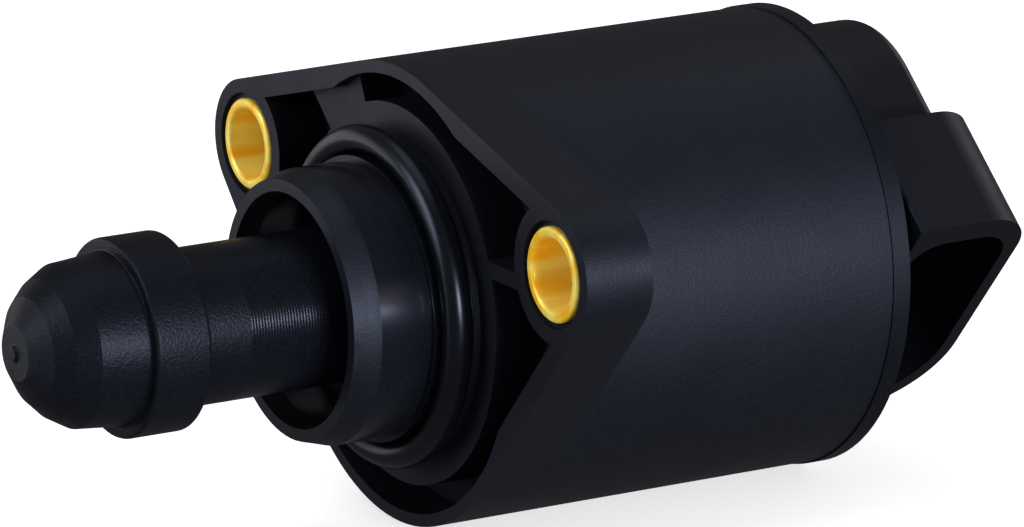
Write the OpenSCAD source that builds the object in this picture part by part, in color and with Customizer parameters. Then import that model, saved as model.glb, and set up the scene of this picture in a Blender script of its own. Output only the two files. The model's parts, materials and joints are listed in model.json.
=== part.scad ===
// Idle air control valve: a stepping motor that draws a pintle in and out of an air seat.
// Origin: on the valve axis in the plane of the flange's front face.
// -X: towards the pintle's tip. +Y: towards the left hand hole. +Z: up.

/* [Body] */
// Outer radius of the moulded body
body_r = 17.36; // [17.1:0.05:19]
// Length from the flange face to the seam of the end cap
body_l = 32.4; // [32.2:0.1:36]
// Wall of the body round the motor
body_wall = 1.66; // [1.2:0.1:2.2]

/* [Flange] */
// Distance between the two mounting holes
hole_spacing = 45; // [43:0.5:50]
// Height of both holes over the valve axis
hole_z = 6.55; // [4:0.25:8]
// Outer radius of each mounting boss
boss_r = 5; // [4.9:0.1:5.8]
// Thickness of the flange
flange_t = 5.5; // [5:0.25:7]
// Wall round the pockets beside the bosses
flange_wall = 1.7; // [1.4:0.05:2]
// Wall round the moat
moat_wall = 0.95; // [0.8:0.05:1.2]
// Depth of the flange's pocket
pocket_d = 4.3; // [3.5:0.1:5]
// Thickness of the web between land and boss
web_t = 1.2; // [0.8:0.1:2]
// Depth of the moat's upper bridge
bridge_d = 1; // [0.8:0.1:2.5]
// Depth of the moat's lower bridge
low_bridge_d = 3.2; // [2.6:0.1:3.4]
// Angle of the moat's bridges from the line of the holes
bridge_angle = 54; // [48:1:70]
// Half the angle that a bridge spans
bridge_half = 12; // [8:1:14]
// Distance from the body's outside in to the land
moat_w = 3.06; // [2.6:0.02:3.5]
// Distance from the flange face back to the land
land_x = 0.24; // [0.1:0.02:0.5]

/* [Mounting bush] */
// Outer radius of each brass bush
bush_r = 3.5; // [3.2:0.05:3.9]
// Bore radius of each brass bush
bush_bore_r = 2.7; // [2.5:0.05:3]
// Depth of the recess round the bush's end
bush_recess_d = 0.45; // [0.2:0.05:1]

/* [Spigot] */
// Outer radius of the spigot
spigot_r = 10.28; // [9.9:0.02:10.4]
// Bore radius of the spigot
spigot_bore_r = 8.8; // [8.6:0.05:9]
// Distance from the flange face to the spigot's front edge
spigot_l = 8.9; // [8.5:0.1:12]
// Length of the lead-in at the spigot's front
lead_in_l = 2; // [1:0.1:3]
// Drop of the lead-in at the spigot's front
lead_in_drop = 0.56; // [0.2:0.02:0.8]
// Depth of the spigot's bore
spigot_bore_d = 5.9; // [5.6:0.1:7]
// Radius of the shoulder that carries the sealing ring
seat_r = 10.66; // [10.5:0.02:11.2]
// Thickness of the step behind the sealing ring
seat_step = 0.64; // [0.5:0.02:1.2]
// Radius of the sealing ring's section
ring_section_r = 1.08; // [0.9:0.02:1.3]

/* [Pintle] */
// Distance from the flange face to the pintle's tip
tip_x = 31.35; // [31:0.25:34]
// Radius of the pintle's stem
stem_r = 5.82; // [5.6:0.02:6]
// Radius of the pintle's sealing collar
collar_r = 7.36; // [7.1:0.02:7.8]
// Length of the sealing collar
collar_l = 4.45; // [3.5:0.05:5]
// Radius of the nose in front of the collar
nose_r = 6.4; // [6.2:0.02:6.8]
// Drop of the nose's radius towards the tip
nose_drop = 0.35; // [0.1:0.05:0.5]
// Length of the pintle's head from tip to the collar's front
head_l = 7.75; // [7.4:0.05:9]
// Radius of the flat at the tip
tip_r = 2.1; // [1.8:0.1:2.8]
// Full travel of the pintle into the body
travel = 8; // [6:0.5:8]

/* [Drive] */
// Radius of the lead screw
screw_r = 2.5; // [2:0.1:2.8]
// Outer radius of the rotor magnet
magnet_r = 9.4; // [9.35:0.01:9.5]
// Wall of the rotor magnet
magnet_wall = 1.4; // [1.2:0.05:1.5]
// Number of claws on each pole plate
claws = 12; // [8:2:16]
// Room between the stator and the end cap
rear_room = 3.7; // [3.65:0.05:5]
// Thickness of the stator's iron
iron_t = 0.9; // [0.7:0.05:1.1]
// Balls in the rear bearing
balls = 9; // [7:1:10]
// Radius of each bearing ball
ball_r = 1.2; // [1:0.05:1.25]

/* [End cap] */
// Step from the body out to the end cap's rim
cap_step = 0.14; // [0.04:0.02:0.4]
// Thickness of the end cap's disc
cap_t = 1.44; // [1.2:0.02:2]
// Height of the terminal block behind the disc
block_h = 9.25; // [8.5:0.05:11]
// Half width of the terminal block
block_hw = 9.2; // [9:0.1:10.5]
// Rounding of the terminal block's rear edges
block_round = 1; // [0.6:0.1:2.4]
// Angle of the socket below the line of the holes
socket_angle = 41; // [30:1:50]
// Distance from the valve axis to the socket's mouth
mouth_a = 11.25; // [10.5:0.25:14]
// Length of the socket's shroud
shroud_l = 10.2; // [9.5:0.1:12]
// Gap between the disc and the shroud
shroud_gap = 0.41; // [0.31:0.02:1.21]
// Size of the shroud along the valve axis
shroud_x = 10.2; // [10:0.1:12]
// Size of the shroud across the valve axis
shroud_n = 24.05; // [22.85:0.1:26]
// Wall of the shroud at its rear
shroud_wall = 1.1; // [0.9:0.05:1.5]
// Wall of the shroud at its low side
low_wall_t = 1.35; // [1:0.05:1.6]
// Wall of the shroud next to the disc
front_wall_t = 0.7; // [0.6:0.05:1]
// Wall of the shroud at its high side
high_wall_t = 2.1; // [1.6:0.1:2.5]
// Distance between neighbouring terminals
pin_pitch = 3.6; // [3.2:0.1:4.2]
// Width of a terminal
pin_w = 0.8; // [0.6:0.05:1]

/* [Clearances] */
// Running clearance of shafts and screws
run_gap = 0.06; // [0.03:0.01:0.09]
// Clearance of pieces that are seated in each other
seat_gap = 0.02; // [0.01:0.01:0.05]
// Air gap between the magnet and the claws
air_gap = 0.35; // [0.3:0.01:0.45]

/* [Hidden] */
$fn = 96;
over = 1;

// Flange outline: two discs and their outer tangents
boss_y = hole_spacing / 2;
boss_dist = norm([boss_y, hole_z]);
boss_dir = atan2(hole_z, boss_y);
boss_wall = 1.65;
boss_inner_r = bush_r + boss_wall;
land_r = body_r - moat_w;

// Stations along the axis
cap_x = body_l;
cap_r = body_r + cap_step;
cap_back = cap_x + cap_t;
block_back = cap_back + block_h;
cavity_r = body_r - body_wall;
front_wall = 3;
cavity_x = flange_t + front_wall;
stator_x = cavity_x + 0.2;
stator_end = cap_x - rear_room;
stator_l = (stator_end - stator_x) / 2;
stator_mid = stator_x + stator_l;
guide_front = -(spigot_l - spigot_bore_d);
guide_l = 7;
guide_back = guide_front + guide_l;

// Pintle stations
head_front = -tip_x;
collar_front = head_front + head_l;
collar_back = collar_front + collar_l;
tail_x = guide_back;
key_r = stem_r + 0.75;
key_w = 1.6;
key_x = guide_back - travel - 1;
guide_bush_r = key_r + 0.9;

// Rotor
bore_r = screw_r + run_gap;
cup_r = key_r + 0.35;
hub_r = magnet_r - magnet_wall - seat_gap;
hub_front = tail_x + 0.6;
magnet_x = stator_x + 0.6;
magnet_end = stator_end - 2.4;
cup_end = tail_x + travel + 1;
shoulder_l = 0.4;
bearing_x = magnet_end + shoulder_l;
bearing_w = 4.6;
bearing_r_in = 4;
bearing_r_out = 8;
ball_track_r = (bearing_r_in + bearing_r_out) / 2;
race_gap = 0.75;
ball_gap = 0.08;
screw_end = magnet_end - 2.3;

// Front bearing bush and thrust washer
front_bush_r = hub_r + run_gap + 1.2;
washer_t = 0.6;
front_bush_x = hub_front - 0.3;
front_bush_l = magnet_x - washer_t - 0.2 - front_bush_x;

// Stator rings
claw_in_r = magnet_r + air_gap;
claw_out_r = claw_in_r + iron_t;
bobbin_in_r = claw_out_r + seat_gap;
bobbin_wall = 0.6;
cup_out_r = cavity_r - seat_gap;
cup_in_r = cup_out_r - iron_t;
bobbin_out_r = cup_in_r - 0.1;
claw_angle = 360 / claws;

// Socket, in its own directions: a along the socket, n across it
block_a = -5.6;
block_n = 2.56;
shroud_a = mouth_a - shroud_l;
shroud_front = cap_back + shroud_gap;
shroud_back = shroud_front + shroud_x;
shroud_mid_n = 3.175;
shroud_low = shroud_mid_n - shroud_n / 2;
shroud_high = shroud_mid_n + shroud_n / 2;
round_small = 0.9;
round_edge = 0.3;
round_mouth = 2.4;
round_high = 4;
round_low = 7.6;
socket_floor = shroud_a + 1.6;
pin_offset = 3.2;
pin_x = shroud_front + pin_offset;
pin_leg_a = -10.4;
pin_tip_a = mouth_a - 2.4;
pin_inner_x = stator_end + 0.6;

function turned(r, angle) = [r * cos(angle), r * sin(angle)];

// Turns a profile of [radius, station] points about the valve axis
module revolved(points) {
    rotate([0, 90, 0]) rotate_extrude() polygon(points);
}

// A ring or disc on the valve axis from station x0 to x1
module ring_x(r_out, r_in, x0, x1) {
    translate([x0, 0, 0]) rotate([0, 90, 0]) difference() {
        cylinder(r = r_out, h = x1 - x0);
        if (r_in > 0) translate([0, 0, -over]) cylinder(r = r_in, h = x1 - x0 + 2 * over);
    }
}

// Stands a drawing in Y and Z up on station x0, h thick
module drawn_yz(x0, h) {
    translate([x0, 0, 0]) rotate([90, 0, 90]) linear_extrude(h) children();
}

// Outline of the flange, set in by a wall
module flange_outline(inset) {
    big = body_r - inset;
    small = boss_r - inset;
    spread = acos((big - small) / boss_dist);
    circle(r = big);
    for (side = [-1, 1]) {
        dir = side > 0 ? boss_dir : 180 - boss_dir;
        middle = [side * boss_y, hole_z];
        translate(middle) circle(r = small);
        polygon([turned(big, dir + spread), middle + turned(small, dir + spread),
                 middle + turned(small, dir - spread), turned(big, dir - spread)]);
    }
}

// Open area of the flange's pocket
module pocket_outline() {
    difference() {
        union() {
            flange_outline(flange_wall);
            circle(r = body_r - moat_wall);
        }
        circle(r = land_r);
        for (side = [-1, 1]) {
            translate([side * boss_y, hole_z]) circle(r = boss_inner_r);
            translate([side > 0 ? 0 : -boss_y, hole_z - 1.6 - web_t / 2]) square([boss_y, web_t]);
        }
    }
}

// Part of the moat that a bridge fills, on either side of the axis
module bridge_sector(turn) {
    rotate(bridge_angle + turn)
        polygon([[0, 0], turned(boss_dist, bridge_half), turned(boss_dist, -bridge_half)]);
}

// Profile of the housing's turned core, from the spigot to the cavity's front wall
module housing_core() {
    lip = 0.22;
    front = -spigot_l;
    seat_front = land_x - seat_step - 2 * ring_section_r - lip;
    wall = flange_t + front_wall;
    revolved([
        [spigot_bore_r, front], [spigot_r - lead_in_drop, front], [spigot_r, front + lead_in_l],
        [spigot_r, seat_front], [seat_r, seat_front], [seat_r, land_x - seat_step],
        [seat_r + ring_section_r * 1.35, land_x - seat_step], [seat_r + ring_section_r * 1.35, land_x],
        [land_r, land_x], [land_r, wall], [front_bush_r, wall], [front_bush_r, front_bush_x],
        [guide_bush_r, front_bush_x], [guide_bush_r, guide_front], [spigot_bore_r, guide_front]
    ]);
}

module housing() {
    color([0.09, 0.1, 0.12]) difference() {
        union() {
            housing_core();
            difference() {
                drawn_yz(0, flange_t) flange_outline(0);
                ring_x(land_r - 0.5, 0, -over, flange_t + over);
                ring_x(land_r, 0, -over, land_x);
            }
            ring_x(body_r, land_r - 0.5, flange_t - 0.5, cavity_x);
            ring_x(body_r, cavity_r, cavity_x - 0.5, cap_x);
        }
        difference() {
            drawn_yz(-over, pocket_d + over) pocket_outline();
            drawn_yz(bridge_d, pocket_d + over) bridge_sector(0);
            drawn_yz(low_bridge_d, pocket_d + over) bridge_sector(180);
        }
        for (side = [-1, 1]) translate([0, side * boss_y, hole_z]) {
            ring_x(bush_r + seat_gap, 0, -over, flange_t + over);
            ring_x(bush_r + 0.45, 0, -over, bush_recess_d);
        }
    }
}

module mounting_bush(side) {
    edge = 0.25;
    color([0.83, 0.62, 0.2]) translate([0, side * boss_y, hole_z]) revolved([
        [bush_bore_r, edge], [bush_bore_r + edge, 0], [bush_r, 0],
        [bush_r, flange_t], [bush_bore_r + edge, flange_t], [bush_bore_r, flange_t - edge]
    ]);
}

module sealing_ring() {
    color([0.06, 0.06, 0.07]) rotate([0, 90, 0]) rotate_extrude()
        translate([seat_r + seat_gap + ring_section_r, land_x - seat_step - seat_gap - ring_section_r])
            circle(r = ring_section_r, $fn = 48);
}

module pintle() {
    socket_r = screw_r + seat_gap;
    nose_front_r = nose_r - nose_drop;
    color([0.1, 0.11, 0.13]) difference() {
        union() {
            revolved([
                [0, head_front - 0.25], [0.5, head_front - 0.25], [0.6, head_front], [tip_r, head_front],
                [nose_front_r * 0.66, head_front + 1.15], [nose_front_r * 0.85, head_front + 2.35],
                [nose_front_r * 0.945, head_front + 3.35], [nose_front_r, head_front + 3.95],
                [nose_r, collar_front], [collar_r - 0.12, collar_front], [collar_r, collar_front + 0.2],
                [collar_r, collar_back - 0.2], [collar_r - 0.2, collar_back],
                [stem_r, collar_back], [stem_r, tail_x], [0, tail_x]
            ]);
            for (turn = [0, 180]) rotate([turn, 0, 0])
                translate([key_x, -key_w / 2, 0]) cube([tail_x - key_x, key_w, key_r]);
        }
        ring_x(socket_r, 0, collar_back, tail_x + over);
    }
}

module lead_screw() {
    color([0.6, 0.6, 0.58]) revolved([
        [0, collar_back + 0.1], [screw_r - 0.3, collar_back + 0.1], [screw_r, collar_back + 0.4],
        [screw_r, screw_end - 0.5], [screw_r - 0.5, screw_end], [0, screw_end]
    ]);
}

module guide_bush() {
    slot_w = key_w + 4 * run_gap;
    color([0.75, 0.73, 0.66]) difference() {
        ring_x(guide_bush_r - seat_gap, stem_r + run_gap, guide_front + 0.2, guide_back);
        for (turn = [0, 180]) rotate([turn, 0, 0])
            translate([guide_front - over, -slot_w / 2, 0])
                cube([guide_l + 2 * over, slot_w, key_r + 3 * run_gap]);
    }
}

module rotor_hub() {
    journal = bearing_r_in - seat_gap;
    color([0.82, 0.8, 0.74]) revolved([
        [cup_r, hub_front], [hub_r, hub_front], [hub_r, magnet_end], [journal + 0.9, magnet_end],
        [journal + 0.9, bearing_x - seat_gap], [journal, bearing_x - seat_gap],
        [journal, bearing_x + bearing_w - 0.3], [journal - 0.3, bearing_x + bearing_w],
        [bore_r, bearing_x + bearing_w], [bore_r, cup_end + 1.5], [bore_r + 1.5, cup_end], [cup_r, cup_end]
    ]);
}

module rotor_magnet() {
    color([0.25, 0.25, 0.27]) revolved([
        [magnet_r - magnet_wall, magnet_x], [magnet_r - 0.3, magnet_x], [magnet_r, magnet_x + 0.3],
        [magnet_r, magnet_end - 0.3], [magnet_r - 0.3, magnet_end], [magnet_r - magnet_wall, magnet_end]
    ]);
}

module front_bearing_bush() {
    color([0.7, 0.5, 0.25])
        ring_x(front_bush_r - seat_gap, hub_r + run_gap, front_bush_x + seat_gap, front_bush_x + front_bush_l);
}

module thrust_washer() {
    color([0.8, 0.8, 0.78])
        ring_x(magnet_r - 0.4, hub_r + 0.3, magnet_x - washer_t - 0.1, magnet_x - 0.1);
}

// Ball groove round a race
module ball_groove() {
    translate([bearing_x + bearing_w / 2, 0, 0]) rotate([0, 90, 0]) rotate_extrude()
        translate([ball_track_r, 0]) circle(r = ball_r + ball_gap, $fn = 48);
}

module bearing_outer_race() {
    color([0.72, 0.73, 0.75]) difference() {
        ring_x(bearing_r_out, ball_track_r + race_gap, bearing_x, bearing_x + bearing_w);
        ball_groove();
    }
}

module bearing_inner_race() {
    color([0.72, 0.73, 0.75]) difference() {
        ring_x(ball_track_r - race_gap, bearing_r_in, bearing_x, bearing_x + bearing_w);
        ball_groove();
    }
}

// Repeats its children at each ball of the bearing
module at_balls() {
    for (i = [0:balls - 1]) rotate([i * 360 / balls, 0, 0])
        translate([bearing_x + bearing_w / 2, 0, ball_track_r]) children();
}

module bearing_balls() {
    color([0.8, 0.81, 0.83]) at_balls() sphere(r = ball_r, $fn = 48);
}

module bearing_cage() {
    half = race_gap - 0.35;
    color([0.76, 0.6, 0.3]) difference() {
        ring_x(ball_track_r + half, ball_track_r - half, bearing_x + 0.5, bearing_x + bearing_w - 0.5);
        at_balls() sphere(r = ball_r + ball_gap, $fn = 48);
    }
}

// Disc spring between the outer race and the end cap
module preload_spring() {
    leaf = 0.25;
    front = bearing_x + bearing_w + seat_gap;
    rear = cap_x - seat_gap;
    rim = bearing_r_out - 0.3;
    eye = bearing_r_in + 1.1;
    color([0.6, 0.62, 0.66])
        revolved([[eye, rear - leaf], [rim, front], [rim, front + leaf], [eye, rear]]);
}

// Outer iron shell of one stator half
module stator_cup(x0) {
    color([0.55, 0.57, 0.6]) ring_x(cup_out_r, cup_in_r, x0, x0 + stator_l - seat_gap);
}

// Iron plate with claws that stand along the air gap, at one side of a stator half
module pole_plate(x0, facing, phase) {
    base_w = claw_out_r * sin(claw_angle * 0.58);
    tip_w = claw_out_r * sin(claw_angle * 0.74);
    claw_end = stator_l - iron_t - 1.2;
    color([0.6, 0.62, 0.65]) translate([x0, 0, 0]) rotate([0, 0, facing > 0 ? 0 : 180])
        difference() {
            revolved([
                [claw_in_r, 0], [cup_in_r - seat_gap, 0], [cup_in_r - seat_gap, iron_t],
                [claw_out_r, iron_t], [claw_out_r, claw_end], [claw_in_r, claw_end]
            ]);
            for (i = [0:claws / 2 - 1]) rotate([(i * 2 + 1) * claw_angle + phase, 0, 0])
                linear_extrude(claw_out_r + over)
                    polygon([[iron_t, -base_w], [claw_end + over, -tip_w],
                             [claw_end + over, tip_w], [iron_t, base_w]]);
        }
}

module bobbin(x0) {
    low = x0 + iron_t + seat_gap;
    high = x0 + stator_l - iron_t - 2 * seat_gap;
    floor_r = bobbin_in_r + bobbin_wall;
    color([0.85, 0.82, 0.7]) revolved([
        [bobbin_in_r, low], [bobbin_out_r, low], [bobbin_out_r, low + bobbin_wall],
        [floor_r, low + bobbin_wall], [floor_r, high - bobbin_wall],
        [bobbin_out_r, high - bobbin_wall], [bobbin_out_r, high], [bobbin_in_r, high]
    ]);
}

module coil(x0) {
    low = x0 + iron_t + bobbin_wall + 2 * seat_gap;
    high = x0 + stator_l - iron_t - bobbin_wall - 3 * seat_gap;
    color([0.72, 0.35, 0.16])
        ring_x(bobbin_out_r - 0.35, bobbin_in_r + bobbin_wall + seat_gap, low, high);
}

// Turns [X, a, n] into the valve's own directions
module socket_frame() {
    rotate([socket_angle + 180, 0, 0]) mirror([0, 0, 1]) children();
}

// Puts a drawing in [n, X] on the socket's direction, from a0 to a1
module along_socket(a0, a1) {
    socket_frame() translate([0, a0, 0]) rotate([-90, -90, 0]) linear_extrude(a1 - a0) children();
}

// Rectangle in [n, X] with its rear corners rounded
module socket_section(low, high, front, back, r_low, r_high, r_front) {
    difference() {
        translate([low, front]) square([high - low, back - front]);
        corner(low, back, 1, -1, r_low);
        corner(high, back, -1, -1, r_high);
        corner(low, front, 1, 1, r_front);
        corner(high, front, -1, 1, r_front);
    }
}

// Waste outside a rounded corner
module corner(n, x, n_in, x_in, r) {
    translate([n, x]) difference() {
        translate([n_in > 0 ? -over : -r, x_in > 0 ? -over : -r]) square([r + over, r + over]);
        translate([n_in * r, x_in * r]) circle(r = r, $fn = 64);
    }
}

module end_cap() {
    inner = cavity_r - seat_gap;
    color([0.09, 0.1, 0.12]) difference() {
        union() {
            ring_x(cap_r, 0, cap_x, cap_back);
            ring_x(inner, inner - 1.3, stator_end + 0.1, cap_x + 0.5);
            ring_x(bearing_r_out + 1.2, bearing_r_out + seat_gap, bearing_x + 0.4, cap_x + 0.5);
            along_socket(block_a, shroud_a + 0.5)
                socket_section(block_n - block_hw, block_n + block_hw, cap_x + 0.5, block_back,
                               block_round, block_round, round_small);
            socket_end();
            along_socket(shroud_a, mouth_a)
                socket_section(shroud_low, shroud_high, shroud_front, shroud_back,
                               round_low, round_high, round_edge);
        }
        along_socket(socket_floor, mouth_a + over)
            socket_section(shroud_low + low_wall_t, shroud_high - high_wall_t,
                           shroud_front + front_wall_t, shroud_back - shroud_wall,
                           round_low - shroud_wall, round_high - shroud_wall, round_mouth);
        for (i = [0:3]) terminal_shape(i, seat_gap);
    }
}

// Rounded far end of the terminal block
module socket_end() {
    socket_frame() translate([0, block_a, block_n]) rotate([0, 90, 0])
        rotate([0, 0, 90]) rotate_extrude() difference() {
            translate([0, cap_x + 0.5]) square([block_hw, block_back - cap_x - 0.5]);
            corner(block_hw, block_back, -1, -1, block_round);
        }
}

// One bent terminal: a leg along the axis and a tab along the socket
module terminal_shape(i, grow) {
    n = shroud_mid_n + (i - 1.5) * pin_pitch;
    half = pin_w / 2 + grow;
    socket_frame() translate([0, 0, n]) {
        translate([pin_inner_x - grow, pin_leg_a - half, -half])
            cube([pin_x + half - pin_inner_x + grow, 2 * half, 2 * half]);
        translate([pin_x - half, pin_leg_a - half, -half])
            cube([2 * half, pin_tip_a - pin_leg_a + half, 2 * half]);
    }
}

module terminal(i) {
    color([0.8, 0.78, 0.7]) terminal_shape(i, 0);
}

housing();
end_cap();
mounting_bush(1);  // mounting_bush_left
mounting_bush(-1);  // mounting_bush_right
sealing_ring();
pintle();
lead_screw();
guide_bush();
rotor_hub();
rotor_magnet();
front_bearing_bush();
thrust_washer();
bearing_outer_race();
bearing_inner_race();
bearing_balls();
bearing_cage();
preload_spring();
stator_cup(stator_x);  // stator_cup_front
stator_cup(stator_mid);  // stator_cup_rear
pole_plate(stator_x, 1, 0);  // pole_plate_front
pole_plate(stator_end, -1, claw_angle / 2);  // pole_plate_rear
bobbin(stator_x);  // bobbin_front
bobbin(stator_mid);  // bobbin_rear
coil(stator_x);  // coil_front
coil(stator_mid);  // coil_rear
terminal(0);  // terminal_1
terminal(1);  // terminal_2
terminal(2);  // terminal_3
terminal(3);  // terminal_4
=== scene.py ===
"""Idle air control valve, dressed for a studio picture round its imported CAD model.

Laid out as an add-on with one operator for each piece or group of like pieces, and run as a script.
All lengths are metres in the model's own frame: the valve's axis is X and the pintle points to -X.
"""

import json
import math

import bpy
from mathutils import Matrix, Vector


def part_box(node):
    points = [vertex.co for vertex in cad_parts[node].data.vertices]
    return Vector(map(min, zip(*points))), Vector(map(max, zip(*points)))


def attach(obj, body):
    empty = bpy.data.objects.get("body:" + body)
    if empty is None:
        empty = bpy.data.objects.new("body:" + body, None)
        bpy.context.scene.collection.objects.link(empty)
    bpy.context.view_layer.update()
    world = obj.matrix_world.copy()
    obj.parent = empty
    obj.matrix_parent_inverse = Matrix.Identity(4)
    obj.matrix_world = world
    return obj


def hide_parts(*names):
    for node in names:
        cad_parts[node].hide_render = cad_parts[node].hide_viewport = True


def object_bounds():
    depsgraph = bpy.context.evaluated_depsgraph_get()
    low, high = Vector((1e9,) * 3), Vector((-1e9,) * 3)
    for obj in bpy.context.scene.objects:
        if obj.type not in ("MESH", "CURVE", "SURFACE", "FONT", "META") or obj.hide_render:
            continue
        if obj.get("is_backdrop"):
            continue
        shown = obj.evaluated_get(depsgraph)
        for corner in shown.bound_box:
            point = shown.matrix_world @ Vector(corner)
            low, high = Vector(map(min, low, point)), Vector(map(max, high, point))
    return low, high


bl_info = {
    "name": "Idle air control valve",
    "version": (1, 0, 0),
    "blender": (4, 5, 0),
    "location": "View3D > Sidebar > Valve",
    "description": "Dresses the packed valve with moulded, turned and wound pieces for a studio picture",
    "category": "Object",
}

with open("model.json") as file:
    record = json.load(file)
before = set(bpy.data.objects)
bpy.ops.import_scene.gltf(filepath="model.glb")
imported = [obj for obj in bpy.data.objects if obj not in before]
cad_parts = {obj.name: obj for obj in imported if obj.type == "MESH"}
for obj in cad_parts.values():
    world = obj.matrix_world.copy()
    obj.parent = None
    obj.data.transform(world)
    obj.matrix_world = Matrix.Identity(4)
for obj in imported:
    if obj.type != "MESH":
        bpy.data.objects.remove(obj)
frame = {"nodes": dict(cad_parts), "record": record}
CAD_LOW, CAD_HIGH = (tuple(corner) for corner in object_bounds())
NODES = frame["nodes"]

MM = 0.001
AXIS_TURN = (0.0, math.pi / 2, 0.0)
MERGE_DISTANCE = 0.002 * MM
COPLANAR_ANGLE = math.radians(0.4)
EDGE_ANGLE = math.radians(28)

# Shading angles: most pieces, the pintle with its flat steps, and the sealing ring
SMOOTH_ANGLE = math.radians(32)
FACET_ANGLE = math.radians(12.5)
RING_ANGLE = math.radians(60)
FACE_WEIGHT = 90
RING_SECTION_STEPS = 48

# Finishes: the bluish tint of the plastics' gloss, the stations on the axis between which the spigot is
# polished and behind which the stem is turned, and the pitch of its rings and of the windings' wire
COOL_GLOSS = (0.62, 0.7, 1.0, 1.0)
POLISHED_ROUGHNESS = 0.22
SPIGOT_POLISHED = (-6.9 * MM, -0.3 * MM)
STEM_TURNED_FROM = -15.2 * MM
STEM_PITCH = 0.24 * MM
WIRE_PITCH = 0.15 * MM

# The socket's closed end: how far its edges may lie from its plane, its high side and its rear
END_PLANE_REACH = 0.02 * MM
END_CORNER_REACH = 2.0 * MM
END_HIGH_REACH = 2.2 * MM
END_REAR_REACH = 0.32 * MM

# Studio: each lamp's place from the camera's target, its width and its height
KEY_LAMP = ((0.05, -0.58, 0.065), 0.28, 0.13)
TOP_LAMP = ((-0.05, 0.1, 0.7), 0.6, 0.6)
BACK_LAMP = ((0.6, 0.2, 0.34), 0.3, 0.3)
FILL_LAMP = ((-0.58, 0.1, 0.32), 0.4, 0.4)
SENSOR_WIDTH = 36.0
CLIP_RANGE = (0.01, 20.0)
WHITE = (1.0, 1.0, 1.0, 1.0)
FLOOR_COLOUR = (0.8, 0.8, 0.8, 1.0)
FLOOR_RADIUS = 6.0
FLOOR_Z = CAD_LOW[2] - 0.02 * MM
TENT_RADIUS = 1.6
TENT_Z = CAD_LOW[2] - 0.01 * MM
WINDOW_X = -60.0 * MM
WINDOW_TOP = 0.5


# Choosing and editing


def deselect_all():
    bpy.ops.object.select_all(action="DESELECT")


def choose(piece):
    """Makes one piece the only selected and the active one."""
    deselect_all()
    piece.select_set(True)
    bpy.context.view_layer.objects.active = piece


def added(name):
    """The piece that an add operator has just made, under its own name."""
    piece = bpy.context.active_object
    piece.name = name
    piece.data.name = name
    return piece


def select_edges(piece, wanted):
    """Selects a piece's edges by their two ends, in object mode."""
    points = piece.data.vertices
    for face in piece.data.polygons:
        face.select = False
    for point in points:
        point.select = False
    for edge in piece.data.edges:
        first, second = (points[i].co for i in edge.vertices)
        edge.select = bool(wanted(first, second))


def edit_selected(piece, work, mode="EDGE"):
    """Runs work in edit mode on what is selected in the piece."""
    choose(piece)
    bpy.ops.object.mode_set(mode="EDIT")
    bpy.ops.mesh.select_mode(type=mode)
    work()
    bpy.ops.object.mode_set(mode="OBJECT")


def place_in_mesh(piece):
    """Moves a piece's place, turn and size into its mesh."""
    choose(piece)
    bpy.ops.object.transform_apply(location=True, rotation=True, scale=True)


def close_and_face_outwards(piece):
    choose(piece)
    bpy.ops.object.mode_set(mode="EDIT")
    bpy.ops.mesh.select_all(action="SELECT")
    bpy.ops.mesh.remove_doubles(threshold=MERGE_DISTANCE)
    bpy.ops.mesh.normals_make_consistent(inside=False)
    bpy.ops.mesh.select_all(action="DESELECT")
    bpy.ops.object.mode_set(mode="OBJECT")


def apply_modifier(piece, kind, name, **settings):
    choose(piece)
    modifier = piece.modifiers.new(name, kind)
    for key, value in settings.items():
        setattr(modifier, key, value)
    bpy.ops.object.modifier_apply(modifier=name)


def round_edges(piece, width):
    """Rounds every sharp edge of a piece."""
    apply_modifier(piece, "BEVEL", "Rounded edges", width=width, segments=2, limit_method="ANGLE",
                   angle_limit=EDGE_ANGLE, use_clamp_overlap=True, harden_normals=False,
                   miter_outer="MITER_ARC")


def shade(piece, angle=SMOOTH_ANGLE):
    """Smooth shading that keeps large faces even up to their rounded edges."""
    choose(piece)
    bpy.ops.object.shade_smooth_by_angle(angle=angle)
    apply_modifier(piece, "WEIGHTED_NORMAL", "Even faces", keep_sharp=True, weight=FACE_WEIGHT)


def turned_ring(name, stations, segments):
    """A ring turned on the valve's axis: a circle is extruded and resized through (x, r) stations.

    The last station meets the first one, which closes the ring."""
    deselect_all()
    x, r = stations[0]
    bpy.ops.mesh.primitive_circle_add(vertices=segments, radius=r, location=(x, 0, 0), rotation=AXIS_TURN,
                                      fill_type="NOTHING")
    piece = added(name)
    place_in_mesh(piece)
    bpy.ops.object.mode_set(mode="EDIT")
    bpy.ops.mesh.select_all(action="SELECT")
    for next_x, next_r in stations[1:]:
        bpy.ops.mesh.extrude_region_move(TRANSFORM_OT_translate={"value": (next_x - x, 0, 0)})
        ratio = next_r / r
        bpy.ops.transform.resize(value=(1, ratio, ratio), center_override=(next_x, 0, 0))
        x, r = next_x, next_r
    bpy.ops.object.mode_set(mode="OBJECT")
    close_and_face_outwards(piece)
    return piece


def moved_to(piece, y, z):
    """Carries a turned piece from the valve's axis to a line beside it."""
    piece.location = (0, y, z)
    place_in_mesh(piece)


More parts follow.
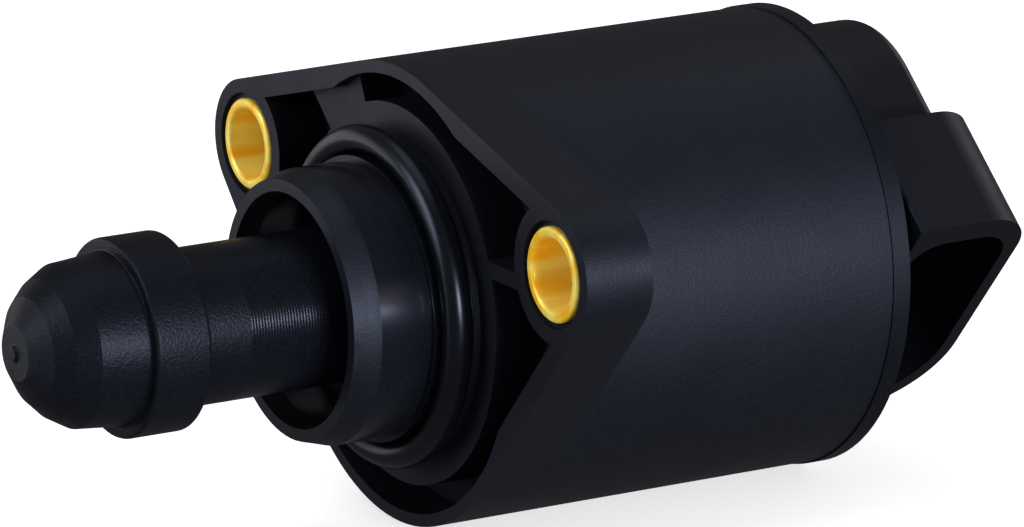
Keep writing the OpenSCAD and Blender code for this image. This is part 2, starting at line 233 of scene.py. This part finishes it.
def copy_of_node(node, name):
    """A merged copy of a CAD node's mesh, with its flat faces made whole."""
    deselect_all()
    mesh = NODES[node].data.copy()
    piece = bpy.data.objects.new(name, mesh)
    mesh.name = name
    bpy.context.scene.collection.objects.link(piece)
    choose(piece)
    bpy.ops.object.mode_set(mode="EDIT")
    bpy.ops.mesh.select_all(action="SELECT")
    bpy.ops.mesh.remove_doubles(threshold=MERGE_DISTANCE)
    bpy.ops.mesh.customdata_custom_splitnormals_clear()
    bpy.ops.mesh.dissolve_limited(angle_limit=COPLANAR_ANGLE)
    bpy.ops.mesh.select_all(action="DESELECT")
    bpy.ops.object.mode_set(mode="OBJECT")
    return piece


def paint(piece, material):
    piece.data.materials.clear()
    piece.data.materials.append(material)


def fit(piece, body, slot, node):
    """Gives a finished piece its finish and its body, and hides the node that it stands for."""
    paint(piece, FINISHES[slot])
    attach(piece, body)
    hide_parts(node)


# Materials


class Finish:
    """A procedural material that is built node by node on Object coordinates."""

    def __init__(self, name):
        self.material = bpy.data.materials.new(name)
        self.material.use_nodes = True
        self.tree = self.material.node_tree
        self.tree.nodes.clear()
        self.output = self.node("ShaderNodeOutputMaterial")
        self.shader = self.node("ShaderNodeBsdfPrincipled")
        self.link(self.shader, "BSDF", self.output, "Surface")
        self.coordinates = self.node("ShaderNodeTexCoord")

    def node(self, kind, **settings):
        made = self.tree.nodes.new(kind)
        for key, value in settings.items():
            setattr(made, key, value)
        return made

    def link(self, source, out_socket, target, in_socket):
        self.tree.links.new(source.outputs[out_socket], target.inputs[in_socket])

    def set(self, **values):
        for key, value in values.items():
            self.shader.inputs[key.replace("_", " ")].default_value = value

    def noise(self, scale, detail=4.0, roughness=0.55, stretch=None):
        """A noise pattern of so many cells to the metre, stretched where the finish has a direction."""
        noise = self.node("ShaderNodeTexNoise")
        noise.inputs["Scale"].default_value = scale
        noise.inputs["Detail"].default_value = detail
        noise.inputs["Roughness"].default_value = roughness
        if stretch:
            mapping = self.node("ShaderNodeMapping")
            mapping.inputs["Scale"].default_value = stretch
            self.link(self.coordinates, "Object", mapping, "Vector")
            self.link(mapping, "Vector", noise, "Vector")
        else:
            self.link(self.coordinates, "Object", noise, "Vector")
        return noise

    def bands(self, pitch):
        """Even rings across the valve's axis, one for each pitch."""
        mapping = self.node("ShaderNodeMapping")
        mapping.inputs["Scale"].default_value = (1.0, 0.0, 0.0)
        self.link(self.coordinates, "Object", mapping, "Vector")
        bands = self.node("ShaderNodeTexWave", wave_type="BANDS", bands_direction="X", wave_profile="SIN")
        bands.inputs["Scale"].default_value = math.pi / (10.0 * pitch)
        self.link(mapping, "Vector", bands, "Vector")
        return bands

    def ramp(self, source, socket, low, high, first, second):
        """Turns a pattern between two levels into a colour between two colours."""
        ramp = self.node("ShaderNodeValToRGB")
        ramp.color_ramp.elements[0].position = low
        ramp.color_ramp.elements[1].position = high
        ramp.color_ramp.elements[0].color = (*first, 1.0)
        ramp.color_ramp.elements[1].color = (*second, 1.0)
        self.link(source, socket, ramp, "Fac")
        return ramp

    def spread(self, source, socket, low, high, start=0.3, end=0.7):
        """Turns a pattern between start and end into a number between low and high."""
        spread = self.node("ShaderNodeMapRange")
        spread.inputs["From Min"].default_value = start
        spread.inputs["From Max"].default_value = end
        spread.inputs["To Min"].default_value = low
        spread.inputs["To Max"].default_value = high
        self.link(source, socket, spread, "Value")
        return spread

    def bump(self, source, socket, depth, strength=1.0, under=None):
        bump = self.node("ShaderNodeBump")
        bump.inputs["Strength"].default_value = strength
        bump.inputs["Distance"].default_value = depth
        self.link(source, socket, bump, "Height")
        if under:
            self.link(under, "Normal", bump, "Normal")
        return bump

    def outside_stations(self, start, end):
        """One outside two stations on the valve's axis, and nothing between them."""
        place = self.node("ShaderNodeSeparateXYZ")
        self.link(self.coordinates, "Object", place, "Vector")
        before = self.node("ShaderNodeMath", operation="LESS_THAN")
        before.inputs[1].default_value = start
        self.link(place, "X", before, 0)
        after = self.node("ShaderNodeMath", operation="GREATER_THAN")
        after.inputs[1].default_value = end
        self.link(place, "X", after, 0)
        outside = self.node("ShaderNodeMath", operation="ADD")
        self.link(before, "Value", outside, 0)
        self.link(after, "Value", outside, 1)
        return outside

    def colour_from(self, ramp):
        self.link(ramp, "Color", self.shader, "Base Color")

    def roughness_from(self, spread):
        self.link(spread, "Result", self.shader, "Roughness")

    def normal_from(self, bump):
        self.link(bump, "Normal", self.shader, "Normal")


def moulded_finish(name, dark, light, roughness, grain=7000.0, depth=0.016 * MM, specular=0.36,
                   polished=None):
    """Moulded plastic or rubber: a speckle over a finer grain, and faint broad changes of gloss.

    Between two polished stations on the axis it is smooth, as where a mould is turned to size."""
    finish = Finish(name)
    flow = finish.noise(160.0, 3.0)
    fine = finish.noise(grain, 3.0, 0.6)
    speckle = finish.noise(grain * 0.45, 2.0, 0.7)
    finish.colour_from(finish.ramp(speckle, "Fac", 0.35, 0.68, dark, light))
    gloss = finish.spread(flow, "Fac", roughness - 0.05, roughness + 0.05)
    broad = finish.bump(speckle, "Fac", depth, 0.6)
    narrow = finish.bump(fine, "Fac", depth * 0.6, 0.6, broad)
    if polished:
        coarse = finish.outside_stations(*polished)
        between = finish.node("ShaderNodeMapRange")
        between.inputs["To Min"].default_value = POLISHED_ROUGHNESS
        finish.link(coarse, "Value", between, "Value")
        finish.link(gloss, "Result", between, "To Max")
        finish.roughness_from(between)
        for grained in (broad, narrow):
            finish.link(coarse, "Value", grained, "Strength")
    else:
        finish.roughness_from(gloss)
    finish.normal_from(narrow)
    finish.set(Specular_IOR_Level=specular, Specular_Tint=COOL_GLOSS)
    return finish.material


def pintle_finish(name, dark, light, turned_from, pitch):
    """The pintle's plastic: grained as moulded, and finely turned and glossier behind a station."""
    finish = Finish(name)
    place = finish.node("ShaderNodeSeparateXYZ")
    finish.link(finish.coordinates, "Object", place, "Vector")
    turned = finish.spread(place, "X", 0.0, 1.0, turned_from, turned_from + 0.1 * MM)
    speckle = finish.noise(4600.0, 2.0, 0.7)
    finish.colour_from(finish.ramp(speckle, "Fac", 0.35, 0.68, dark, light))
    grain = finish.bump(speckle, "Fac", 0.045 * MM, 1.0)
    finish.link(finish.spread(turned, "Result", 1.0, 0.25, 0.0, 1.0), "Result", grain, "Strength")
    height = finish.node("ShaderNodeMath", operation="MULTIPLY")
    finish.link(finish.bands(pitch), "Fac", height, 0)
    finish.link(turned, "Result", height, 1)
    finish.normal_from(finish.bump(height, "Value", 0.009 * MM, 1.0, grain))
    finish.roughness_from(finish.spread(turned, "Result", 0.38, 0.24, 0.0, 1.0))
    finish.set(Specular_IOR_Level=0.16, Specular_Tint=COOL_GLOSS)
    return finish.material


def bush_finish(name, dark, light):
    """Bright brass with painted reflections: bands of darker and brighter gold along the axis, and fine rings
    from the tool.
    """
    finish = Finish(name)
    reflection_bands = finish.noise(1.0, 2.0, 0.6, (60.0, 520.0, 520.0))
    rings = finish.noise(1.0, 2.0, 0.6, (9000.0, 150.0, 150.0))
    # Painted reflection: the colour runs between dark and light gold in bands along the axis
    finish.colour_from(finish.ramp(reflection_bands, "Fac", 0.38, 0.6, dark, light))
    finish.roughness_from(finish.spread(rings, "Fac", 0.28, 0.4))
    finish.normal_from(finish.bump(rings, "Fac", 0.004 * MM, 0.8))
    finish.set(Metallic=0.3)
    return finish.material


def turned_finish(name, dark, light, roughness, pitch):
    """Turned or pressed metal: fine rings about the axis and a faint change of tone."""
    finish = Finish(name)
    rings = finish.noise(1.0, 2.0, 0.6, (1.0 / pitch, 120.0, 120.0))
    tint = finish.noise(500.0, 3.0)
    finish.colour_from(finish.ramp(tint, "Fac", 0.3, 0.7, dark, light))
    finish.roughness_from(finish.spread(rings, "Fac", roughness - 0.07, roughness + 0.1))
    finish.normal_from(finish.bump(rings, "Fac", 0.006 * MM, 0.7))
    finish.set(Metallic=1.0)
    return finish.material


def grained_finish(name, dark, light, roughness, scale, depth, metal=1.0):
    """Plated, tinned, sintered or magnet material: an even grain with patches of tone."""
    finish = Finish(name)
    grain = finish.noise(scale, 4.0, 0.6)
    patches = finish.noise(scale * 0.08, 3.0)
    finish.colour_from(finish.ramp(patches, "Fac", 0.3, 0.7, dark, light))
    finish.roughness_from(finish.spread(grain, "Fac", roughness - 0.06, roughness + 0.08))
    finish.normal_from(finish.bump(grain, "Fac", depth, 0.7))
    finish.set(Metallic=metal)
    return finish.material


def wound_finish(name, dark, light, wire):
    """Enamelled copper wire in close turns along the axis."""
    finish = Finish(name)
    tint = finish.noise(900.0, 2.0)
    finish.colour_from(finish.ramp(tint, "Fac", 0.3, 0.7, dark, light))
    finish.roughness_from(finish.spread(tint, "Fac", 0.22, 0.34))
    finish.normal_from(finish.bump(finish.bands(wire), "Fac", 0.3 * wire, 0.8))
    finish.set(Metallic=0.85)
    return finish.material


FINISHES = {}


def toned(colour, factor):
    """A colour with all its channels made lighter or darker by a factor."""
    return tuple(channel * factor for channel in colour)


def make_finishes(colours):
    """Makes each material once, under the name of its slot in the record."""
    body, rubber = tuple(colours.plastic), tuple(colours.rubber)
    FINISHES.update({
        "housing_plastic": moulded_finish("Moulded housing plastic", body, toned(body, 1.9), 0.5,
                                          9500.0, 0.022 * MM, 0.37, SPIGOT_POLISHED),
        # Painted shade: the end cap's plastic is the housing plastic darkened to six tenths, which holds back
        # the lamp light that the cap and its socket catch
        "cap_plastic": moulded_finish("Cap plastic with painted shade", toned(body, 0.6), body, 0.46),
        "pintle_plastic": pintle_finish("Turned pintle plastic", body, toned(body, 1.9),
                                        STEM_TURNED_FROM, STEM_PITCH),
        "rubber": moulded_finish("Sealing rubber", rubber, toned(rubber, 1.5), 0.3,
                                 5200.0, 0.004 * MM, 0.4),
        # The bushes' dark gold is the shaded end of their painted reflection bands
        "brass": bush_finish("Bright brass", (1.0, 0.54, 0.015), tuple(colours.brass)),
        "steel": turned_finish("Turned steel", (0.5, 0.5, 0.52), (0.66, 0.66, 0.68), 0.24, 0.12 * MM),
        "guide_plastic": moulded_finish("Pale guide plastic", (0.55, 0.53, 0.46), (0.68, 0.66, 0.58), 0.42,
                                        3000.0, 0.01 * MM, 0.4),
        "hub_plastic": moulded_finish("Hub plastic", (0.62, 0.6, 0.54), (0.76, 0.74, 0.68), 0.4,
                                      3000.0, 0.01 * MM, 0.4),
        "magnet": grained_finish("Ferrite magnet", (0.045, 0.047, 0.05), (0.08, 0.082, 0.088), 0.55,
                                 2600.0, 0.02 * MM, 0.2),
        "bronze": grained_finish("Sintered bronze", (0.42, 0.25, 0.1), (0.6, 0.38, 0.17), 0.42,
                                 3400.0, 0.02 * MM),
        "cage_brass": turned_finish("Pressed cage brass", (0.62, 0.4, 0.12), (0.8, 0.56, 0.2), 0.3,
                                    0.2 * MM),
        "iron": grained_finish("Plated pressed iron", (0.36, 0.37, 0.38), (0.52, 0.53, 0.54), 0.36,
                               1800.0, 0.012 * MM),
        "bobbin_plastic": moulded_finish("Bobbin plastic", (0.5, 0.46, 0.34), (0.62, 0.58, 0.44), 0.45,
                                         3000.0, 0.01 * MM, 0.4),
        "copper_wire": wound_finish("Enamelled copper wire", (0.5, 0.15, 0.045), (0.66, 0.23, 0.08),
                                    WIRE_PITCH),
        "tinned": grained_finish("Tinned terminal", (0.6, 0.6, 0.59), (0.76, 0.76, 0.74), 0.28,
                                 1500.0, 0.006 * MM),
    })


# Settings


class ValveSizes(bpy.types.PropertyGroup):
    """Sizes that change how the pieces are finished"""
    mould_round: bpy.props.FloatProperty(
        name="Mould rounding", description="Rounding of the housing's moulded edges",
        default=0.22 * MM, min=0.0, max=0.4 * MM, unit="LENGTH")
    cap_round: bpy.props.FloatProperty(
        name="Cap rounding", description="Rounding of the end cap's and socket's edges",
        default=0.18 * MM, min=0.0, max=0.4 * MM, unit="LENGTH")
    socket_round: bpy.props.FloatProperty(
        name="Socket rounding", description="Rounding of the socket's closed end",
        default=1.1 * MM, min=0.2 * MM, max=1.5 * MM, unit="LENGTH")
    bush_round: bpy.props.FloatProperty(
        name="Bush edge", description="Broken edge of the brass bushes",
        default=0.16 * MM, min=0.0, max=0.3 * MM, unit="LENGTH")
    flash: bpy.props.FloatProperty(
        name="Ring parting line", description="Height of the parting line round the sealing ring",
        default=0.03 * MM, min=0.0, max=0.1 * MM, unit="LENGTH")
    round_steps: bpy.props.IntProperty(
        name="Steps round a ring", description="Straight steps round each turned piece",
        default=192, min=48, max=384)


class ValveColours(bpy.types.PropertyGroup):
    """Colours of the pieces that show"""
    plastic: bpy.props.FloatVectorProperty(
        name="Plastic", description="Colour of the moulded plastic", default=(0.0026, 0.0032, 0.005),
        min=0.0, max=1.0, subtype="COLOR")
    rubber: bpy.props.FloatVectorProperty(
        name="Rubber", description="Colour of the sealing ring", default=(0.002, 0.0024, 0.0034),
        min=0.0, max=1.0, subtype="COLOR")
    # The brass colour is the bright end of the bushes' painted reflection bands
    brass: bpy.props.FloatVectorProperty(
        name="Brass", description="Lightest tone of the mounting bushes", default=(1.0, 0.82, 0.16),
        min=0.0, max=1.0, subtype="COLOR")


class ValveStudio(bpy.types.PropertyGroup):
    """Camera and light"""
    azimuth: bpy.props.FloatProperty(
        name="Azimuth", description="Turn of the camera round the valve",
        default=math.radians(-30.466), subtype="ANGLE")
    elevation: bpy.props.FloatProperty(
        name="Elevation", description="Height of the camera above the horizon",
        default=math.radians(14.925), subtype="ANGLE")
    roll: bpy.props.FloatProperty(
        name="Roll", description="Turn of the camera about its own line of sight",
        default=math.radians(-0.327), subtype="ANGLE")
    distance: bpy.props.FloatProperty(
        name="Distance", description="Distance from the camera to the point it looks at",
        default=598.75 * MM, unit="LENGTH")
    target: bpy.props.FloatVectorProperty(
        name="Target", description="Point that the camera looks at",
        default=(10.024 * MM, 0.0, 0.903 * MM), subtype="TRANSLATION")
    focal_length: bpy.props.FloatProperty(
        name="Focal length", description="Focal length on a sensor 36 mm wide, in millimetres",
        default=283.96)
    key_power: bpy.props.FloatProperty(
        name="Key power", description="Power of the low wide lamp square to the axis", default=3.6,
        unit="POWER")
    top_power: bpy.props.FloatProperty(
        name="Top power", description="Power of the soft lamp overhead", default=0.72, unit="POWER")
    fill_power: bpy.props.FloatProperty(
        name="Fill power", description="Power of the soft lamp left of the camera", default=1.9,
        unit="POWER")
    back_power: bpy.props.FloatProperty(
        name="Back power", description="Power of the soft lamp behind the end cap", default=0.5,
        unit="POWER")
    ambient: bpy.props.FloatProperty(
        name="Ambient", description="Even light from all round", default=0.45, min=0.0, max=1.0)
    card_tone: bpy.props.FloatProperty(
        name="Card tone", description="Tone of the grey cards that a glossy surface mirrors", default=0.11,
        subtype="FACTOR", min=0.0, max=1.0)
    floor_glow: bpy.props.FloatProperty(
        name="Floor glow", description="White that the floor adds where it is seen", default=0.62,
        subtype="FACTOR", min=0.0, max=1.0)


# Pieces


def round_socket_end(piece, radius):
    """Rounds the closed end of the socket at its rear and at its high side."""
    mount = next(m for m in frame["record"]["mounts"] if m["name"] == "connector")
    out = Vector(mount["axis"])
    up = Vector((0.0, out.z, -out.y))
    points = [point.co for point in piece.data.vertices]
    high = max(point.dot(up) for point in points)
    rear = max(point.x for point in points)
    start = min(point.dot(out) for point in points if point.dot(up) > high - END_CORNER_REACH)

    def on_the_end(point):
        outside = point.dot(up) > high - END_HIGH_REACH or point.x > rear - END_REAR_REACH
        return abs(point.dot(out) - start) < END_PLANE_REACH and outside

    select_edges(piece, lambda first, second: on_the_end(first) and on_the_end(second))
    edit_selected(piece, lambda: bpy.ops.mesh.bevel(offset=radius, segments=4, affect="EDGES"))


def bush_bore(node):
    """The smallest radius of a bush's mesh about its own line."""
    low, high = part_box(node)
    middle_y, middle_z = (low[1] + high[1]) / 2, (low[2] + high[2]) / 2
    return min(math.hypot(v.co.y - middle_y, v.co.z - middle_z) for v in NODES[node].data.vertices)


class VALVE_OT_finishes(bpy.types.Operator):
    """Makes every material and paints the pieces that stay as the model has them"""
    bl_idname = "valve.finishes"
    bl_label = "Finishes"

    def execute(self, context):
        make_finishes(context.scene.valve_colours)
        for part in frame["record"]["subparts"]:
            paint(NODES[part["node"]], FINISHES[part["material_slot"]])
        return {"FINISHED"}


class VALVE_OT_housing(bpy.types.Operator):
    """Copies the moulded housing and rounds its edges"""
    bl_idname = "valve.housing"
    bl_label = "Housing"

    def execute(self, context):
        piece = copy_of_node("housing", "Housing_moulding")
        round_edges(piece, context.scene.valve_sizes.mould_round)
        shade(piece)
        fit(piece, "body", "housing_plastic", "housing")
        return {"FINISHED"}


class VALVE_OT_end_cap(bpy.types.Operator):
    """Copies the end cap with its terminal block and socket, and rounds its edges"""
    bl_idname = "valve.end_cap"
    bl_label = "End cap and socket"

    def execute(self, context):
        sizes = context.scene.valve_sizes
        piece = copy_of_node("end_cap", "End_cap_moulding")
        round_socket_end(piece, sizes.socket_round)
        round_edges(piece, sizes.cap_round)
        shade(piece)
        fit(piece, "body", "cap_plastic", "end_cap")
        return {"FINISHED"}


class VALVE_OT_bushes(bpy.types.Operator):
    """Turns the two brass mounting bushes"""
    bl_idname = "valve.bushes"
    bl_label = "Mounting bushes"

    def execute(self, context):
        sizes = context.scene.valve_sizes
        edge = sizes.bush_round
        for side in ("left", "right"):
            node = f"mounting_bush_{side}"
            low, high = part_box(node)
            outer = (high[1] - low[1]) / 2
            inner = bush_bore(node)
            stations = [
                (low[0], inner + edge), (low[0], outer - edge), (low[0] + edge, outer),
                (high[0] - edge, outer), (high[0], outer - edge), (high[0], inner + edge),
                (high[0] - edge, inner), (low[0] + edge, inner), (low[0], inner + edge),
            ]
            piece = turned_ring(f"Mounting_bush_{side}", stations, sizes.round_steps)
            moved_to(piece, (low[1] + high[1]) / 2, (low[2] + high[2]) / 2)
            round_edges(piece, edge * 0.4)
            shade(piece)
            fit(piece, "body", "brass", node)
        return {"FINISHED"}


class VALVE_OT_sealing_ring(bpy.types.Operator):
    """Spins the rubber sealing ring with its parting line"""
    bl_idname = "valve.sealing_ring"
    bl_label = "Sealing ring"

    def execute(self, context):
        sizes = context.scene.valve_sizes
        low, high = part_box("sealing_ring")
        section = (high[0] - low[0]) / 2 - sizes.flash
        centre_r = high[2] - (high[0] - low[0]) / 2
        middle_x = (low[0] + high[0]) / 2
        deselect_all()
        bpy.ops.mesh.primitive_circle_add(vertices=RING_SECTION_STEPS, radius=section,
                                          rotation=(math.pi / 2, 0, 0), location=(middle_x, 0, centre_r))
        piece = added("Sealing_ring_rubber")
        place_in_mesh(piece)
        for point in piece.data.vertices:
            point.select = abs(abs(point.co.x - middle_x) - section) < 0.01 * section
        edit_selected(piece, lambda: bpy.ops.transform.resize(
            value=((section + sizes.flash) / section, 1, 1), center_override=(middle_x, 0, centre_r)), "VERT")
        choose(piece)
        bpy.ops.object.mode_set(mode="EDIT")
        bpy.ops.mesh.select_all(action="SELECT")
        bpy.ops.mesh.spin(steps=sizes.round_steps, angle=2 * math.pi, center=(middle_x, 0, 0), axis=(1, 0, 0))
        bpy.ops.object.mode_set(mode="OBJECT")
        close_and_face_outwards(piece)
        shade(piece, RING_ANGLE)
        fit(piece, "body", "rubber", "sealing_ring")
        return {"FINISHED"}


class VALVE_OT_pintle(bpy.types.Operator):
    """Rounds the pintle's turned steps"""
    bl_idname = "valve.pintle"
    bl_label = "Pintle"

    def execute(self, context):
        piece = copy_of_node("pintle", "Pintle_moulding")
        round_edges(piece, context.scene.valve_sizes.mould_round)
        shade(piece, FACET_ANGLE)
        fit(piece, "pintle", "pintle_plastic", "pintle")
        return {"FINISHED"}


# Studio


def camera_basis(studio):
    """Right, up and back directions of the camera."""
    azimuth, elevation = studio.azimuth, studio.elevation
    back = Vector((math.sin(azimuth) * math.cos(elevation), -math.cos(azimuth) * math.cos(elevation),
                   math.sin(elevation)))
    level = Vector((math.cos(azimuth), math.sin(azimuth), 0.0))
    upright = back.cross(level)
    roll = studio.roll
    right = level * math.cos(roll) + upright * math.sin(roll)
    return right, back.cross(right), back


def soft_lamp(name, lamp, target, power):
    """An oval soft box at a place beside the target, as wide and high as given, that faces the target."""
    offset, width, height = lamp
    place = target + Vector(offset)
    data = bpy.data.lights.new(name, "AREA")
    data.shape = "ELLIPSE"
    data.size = width
    data.size_y = height
    data.energy = power
    box = bpy.data.objects.new(name, data)
    box.location = place
    box.rotation_euler = (target - place).to_track_quat("-Z", "Y").to_euler()
    bpy.context.scene.collection.objects.link(box)


def seen_directly(tree):
    """A node that gives one where the camera, a reflection or a clear piece sees a shader."""
    path = tree.nodes.new("ShaderNodeLightPath")
    mirrored = tree.nodes.new("ShaderNodeMath")
    mirrored.operation = "MAXIMUM"
    seen = tree.nodes.new("ShaderNodeMath")
    seen.operation = "MAXIMUM"
    tree.links.new(path.outputs["Is Camera Ray"], mirrored.inputs[0])
    tree.links.new(path.outputs["Is Glossy Ray"], mirrored.inputs[1])
    tree.links.new(mirrored.outputs[0], seen.inputs[0])
    tree.links.new(path.outputs["Is Transmission Ray"], seen.inputs[1])
    return seen


def empty_tree(owner):
    """The cleared node tree of a material or world."""
    owner.use_nodes = True
    owner.node_tree.nodes.clear()
    return owner.node_tree


class VALVE_OT_stage(bpy.types.Operator):
    """Sets the camera, the soft lamps, the white surroundings, the pale floor and the grey cards"""
    bl_idname = "valve.stage"
    bl_label = "Studio"

    def execute(self, context):
        studio = context.scene.valve_studio
        right, upright, back = camera_basis(studio)
        target = Vector(studio.target)
        data = bpy.data.cameras.new("Camera")
        data.sensor_fit = "HORIZONTAL"
        data.sensor_width = SENSOR_WIDTH
        data.lens = studio.focal_length
        data.clip_start, data.clip_end = CLIP_RANGE
        camera = bpy.data.objects.new("Camera", data)
        turn = Matrix((right, upright, back)).transposed().to_4x4()
        camera.matrix_world = Matrix.Translation(target + back * studio.distance) @ turn
        context.scene.collection.objects.link(camera)
        context.scene.camera = camera

        soft_lamp("Key lamp", KEY_LAMP, target, studio.key_power)
        soft_lamp("Top lamp", TOP_LAMP, target, studio.top_power)
        soft_lamp("Back lamp", BACK_LAMP, target, studio.back_power)
        soft_lamp("Fill lamp", FILL_LAMP, target, studio.fill_power)
        self.surroundings(context.scene, studio)
        self.floor(studio)
        self.grey_cards(studio)
        context.scene.view_settings.view_transform = "Standard"
        return {"FINISHED"}

    def surroundings(self, scene, studio):
        """A world that lights evenly, and that is white where it is seen."""
        world = bpy.data.worlds.new("Studio")
        tree = empty_tree(world)
        output = tree.nodes.new("ShaderNodeOutputWorld")
        ambient = tree.nodes.new("ShaderNodeBackground")
        ambient.inputs["Strength"].default_value = studio.ambient
        ambient.inputs["Color"].default_value = WHITE
        white = tree.nodes.new("ShaderNodeBackground")
        white.inputs["Strength"].default_value = 1.0
        white.inputs["Color"].default_value = WHITE
        choice = tree.nodes.new("ShaderNodeMixShader")
        tree.links.new(seen_directly(tree).outputs[0], choice.inputs[0])
        tree.links.new(ambient.outputs[0], choice.inputs[1])
        tree.links.new(white.outputs[0], choice.inputs[2])
        tree.links.new(choice.outputs[0], output.inputs["Surface"])
        scene.world = world

    def floor(self, studio):
        """A pale floor that adds white where it is seen, and keeps the valve's shadow."""
        deselect_all()
        bpy.ops.mesh.primitive_circle_add(vertices=96, radius=FLOOR_RADIUS, fill_type="NGON",
                                          location=(0.0, 0.0, FLOOR_Z))
        floor = added("Studio_floor")
        place_in_mesh(floor)
        material = bpy.data.materials.new("Pale floor")
        tree = empty_tree(material)
        output = tree.nodes.new("ShaderNodeOutputMaterial")
        shaded = tree.nodes.new("ShaderNodeBsdfDiffuse")
        shaded.inputs["Color"].default_value = FLOOR_COLOUR
        strength = tree.nodes.new("ShaderNodeMath")
        strength.operation = "MULTIPLY"
        strength.inputs[1].default_value = studio.floor_glow
        glowing = tree.nodes.new("ShaderNodeEmission")
        both = tree.nodes.new("ShaderNodeAddShader")
        tree.links.new(seen_directly(tree).outputs[0], strength.inputs[0])
        tree.links.new(strength.outputs[0], glowing.inputs["Strength"])
        tree.links.new(shaded.outputs[0], both.inputs[0])
        tree.links.new(glowing.outputs[0], both.inputs[1])
        tree.links.new(both.outputs[0], output.inputs["Surface"])
        floor.data.materials.append(material)
        floor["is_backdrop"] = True

    def grey_cards(self, studio):
        """A tent of grey cards that only glossy surfaces mirror, open to the white at its left rear."""
        deselect_all()
        bpy.ops.mesh.primitive_uv_sphere_add(segments=48, ring_count=24, radius=TENT_RADIUS,
                                             location=(0.0, 0.0, 0.0))
        tent = added("Studio_cards")
        place_in_mesh(tent)
        choose(tent)
        bpy.ops.object.mode_set(mode="EDIT")
        bpy.ops.mesh.select_all(action="SELECT")
        bpy.ops.mesh.bisect(plane_co=(0, 0, TENT_Z), plane_no=(0, 0, 1), clear_inner=True, use_fill=True)
        bpy.ops.mesh.select_all(action="SELECT")
        bpy.ops.mesh.bisect(plane_co=(0, 0, 0), plane_no=(0, 1, 0))
        bpy.ops.mesh.select_all(action="SELECT")
        bpy.ops.mesh.bisect(plane_co=(WINDOW_X, 0, 0), plane_no=(1, 0, 0))
        bpy.ops.mesh.select_all(action="DESELECT")
        bpy.ops.object.mode_set(mode="OBJECT")
        for face in tent.data.polygons:
            x, y, z = face.center
            face.select = x < WINDOW_X and y > 0.0 and z < WINDOW_TOP
        edit_selected(tent, lambda: bpy.ops.mesh.delete(type="FACE"), "FACE")
        material = bpy.data.materials.new("Grey card")
        tree = empty_tree(material)
        output = tree.nodes.new("ShaderNodeOutputMaterial")
        tone = tree.nodes.new("ShaderNodeEmission")
        tone.inputs["Strength"].default_value = studio.card_tone
        tree.links.new(tone.outputs[0], output.inputs["Surface"])
        tent.data.materials.append(material)
        tent.visible_camera = False
        tent.visible_diffuse = False
        tent.visible_shadow = False
        tent.visible_transmission = False
        tent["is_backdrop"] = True


# Panel and registration


class VALVE_PT_panel(bpy.types.Panel):
    """Lists the steps that dress the valve"""
    bl_idname = "VALVE_PT_panel"
    bl_label = "Idle air control valve"
    bl_space_type = "VIEW_3D"
    bl_region_type = "UI"
    bl_category = "Valve"

    def draw(self, context):
        layout = self.layout
        for group in (context.scene.valve_sizes, context.scene.valve_colours, context.scene.valve_studio):
            box = layout.box()
            for key in group.__annotations__:
                box.prop(group, key)
        for step in STEPS:
            layout.operator(step.bl_idname)


STEPS = (
    VALVE_OT_finishes, VALVE_OT_housing, VALVE_OT_end_cap, VALVE_OT_bushes, VALVE_OT_sealing_ring,
    VALVE_OT_pintle, VALVE_OT_stage,
)
GROUPS = (ValveSizes, ValveColours, ValveStudio)


def register():
    for kind in (*GROUPS, *STEPS, VALVE_PT_panel):
        bpy.utils.register_class(kind)
    bpy.types.Scene.valve_sizes = bpy.props.PointerProperty(type=ValveSizes)
    bpy.types.Scene.valve_colours = bpy.props.PointerProperty(type=ValveColours)
    bpy.types.Scene.valve_studio = bpy.props.PointerProperty(type=ValveStudio)


def unregister():
    for key in ("valve_sizes", "valve_colours", "valve_studio"):
        delattr(bpy.types.Scene, key)
    for kind in reversed((*GROUPS, *STEPS, VALVE_PT_panel)):
        bpy.utils.unregister_class(kind)


def main():
    register()
    for step in STEPS:
        group, name = step.bl_idname.split(".")
        getattr(getattr(bpy.ops, group), name)()
    deselect_all()


if __name__ == "__main__":
    main()
